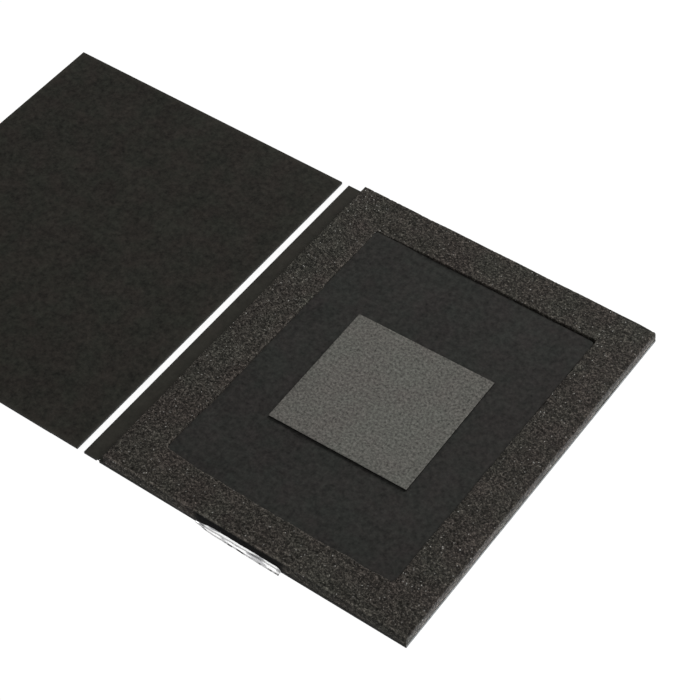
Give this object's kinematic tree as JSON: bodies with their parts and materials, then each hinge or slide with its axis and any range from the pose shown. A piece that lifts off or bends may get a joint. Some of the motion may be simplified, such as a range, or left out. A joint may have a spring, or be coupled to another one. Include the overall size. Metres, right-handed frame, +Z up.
{
  "type": "folding negative carrier",
  "caption": "Folding card carrier, laid open: base leaf with a black foam frame round a shallow card-lined bed with a grey square pad, folding spine and plain cover leaf.",
  "frame": {"origin": "centre of the base leaf's underside", "axes": "+X from the spine to the base leaf's free edge, +Y along the folds away from the edge with the clear tab, +Z up"},
  "size_m": [0.2647, 0.1541, 0.0052],
  "materials": {
    "covering_paper": "matte",
    "liner_paper": "matte",
    "board_core": "matte",
    "foam": "matte",
    "filler": "matte",
    "bed_card": "matte",
    "pad": "matte",
    "adhesive": "gloss",
    "clear_film": "gloss"
  },
  "bodies": {
    "base": {"base_outer_paper": "covering_paper", "base_board": "board_core", "base_liner": "liner_paper", "foam_adhesive": "adhesive", "foam_frame": "foam", "filler_adhesive": "adhesive", "filler_block": "filler", "card_adhesive": "adhesive", "recess_card": "bed_card", "pad_adhesive": "adhesive", "grey_pad": "pad", "closure_tab": "clear_film"},
    "spine": {"spine_hinge_film": "clear_film", "spine_board": "board_core", "spine_liner": "liner_paper"},
    "cover": {"cover_hinge_film": "clear_film", "cover_outer_paper": "covering_paper", "cover_board": "board_core", "cover_liner": "liner_paper"}
  },
  "joints": [
    {"name": "spine_fold", "type": "hinge", "parent": "base", "child": "spine", "pos_m": [-0.0635, 0, 0.0012], "axis": [0, 1, 0], "range_deg": [0, 90]},
    {"name": "cover_fold", "type": "hinge", "parent": "spine", "child": "cover", "pos_m": [-0.06955, 0, 0.00015], "axis": [0, 1, 0], "range_deg": [0, 90]}
  ]
}
